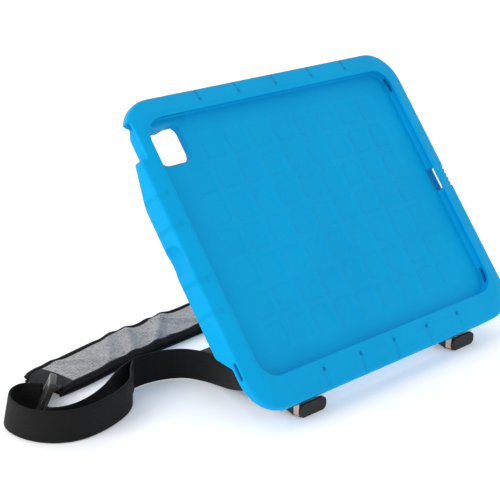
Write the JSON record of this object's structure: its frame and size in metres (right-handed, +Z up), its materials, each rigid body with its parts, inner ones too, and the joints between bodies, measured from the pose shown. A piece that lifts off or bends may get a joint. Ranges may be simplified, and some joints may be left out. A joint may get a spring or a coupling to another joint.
{
  "type": "tablet case",
  "caption": "Thick blue foam tablet case for a child, leaning back on a folding sled stand, with a padded webbing shoulder strap.",
  "frame": {"origin": "on the surface it stands on, below the middle of the case and stand, strap left out", "axes": "+Z up, the screen side faces -Y and leans back towards +Y, +X to the right seen from the screen side"},
  "size_m": [0.428, 0.2296, 0.2218],
  "materials": {
    "shell_foam": "matt moulded foam",
    "hinge_metal": "rose gold plated",
    "screw_steel": "zinc plated",
    "washer_brass": "plain",
    "arm_nylon": "fine spark texture",
    "foot_rubber": "matt",
    "webbing": "ribbed weave",
    "slider_plastic": "satin",
    "pad_fabric": "heather weave"
  },
  "bodies": {
    "case": {"case_shell": "shell_foam", "bracket_left": "hinge_metal", "bracket_screws_left": "screw_steel", "bracket_backing_left": "screw_steel", "hinge_pin_left": "screw_steel", "hinge_washers_left": "washer_brass", "strap_loop_left": "hinge_metal", "strap_loop_screws_left": "screw_steel", "strap_loop_backing_left": "screw_steel", "bracket_right": "hinge_metal", "bracket_screws_right": "screw_steel", "bracket_backing_right": "screw_steel", "hinge_pin_right": "screw_steel", "hinge_washers_right": "washer_brass", "strap_loop_right": "hinge_metal", "strap_loop_screws_right": "screw_steel", "strap_loop_backing_right": "screw_steel", "webbing_left": "webbing", "webbing_loop": "webbing", "webbing_right": "webbing", "pad_tab": "webbing", "strap_slider": "slider_plastic", "shoulder_pad": "pad_fabric"},
    "stand": {"stand_crossbar": "arm_nylon", "stand_arm_left": "arm_nylon", "foot_shoe_left": "hinge_metal", "foot_rivets_left": "screw_steel", "foot_pad_left": "foot_rubber", "rear_boot_left": "foot_rubber", "crossbar_screw_left": "screw_steel", "stand_arm_right": "arm_nylon", "foot_shoe_right": "hinge_metal", "foot_rivets_right": "screw_steel", "foot_pad_right": "foot_rubber", "rear_boot_right": "foot_rubber", "crossbar_screw_right": "screw_steel"}
  },
  "joints": [
    {"name": "stand_fold", "type": "hinge", "parent": "case", "child": "stand", "pos_m": [0, -0.0525, 0.0117], "axis": [1, 0, 0], "range_deg": [0, 52]}
  ]
}
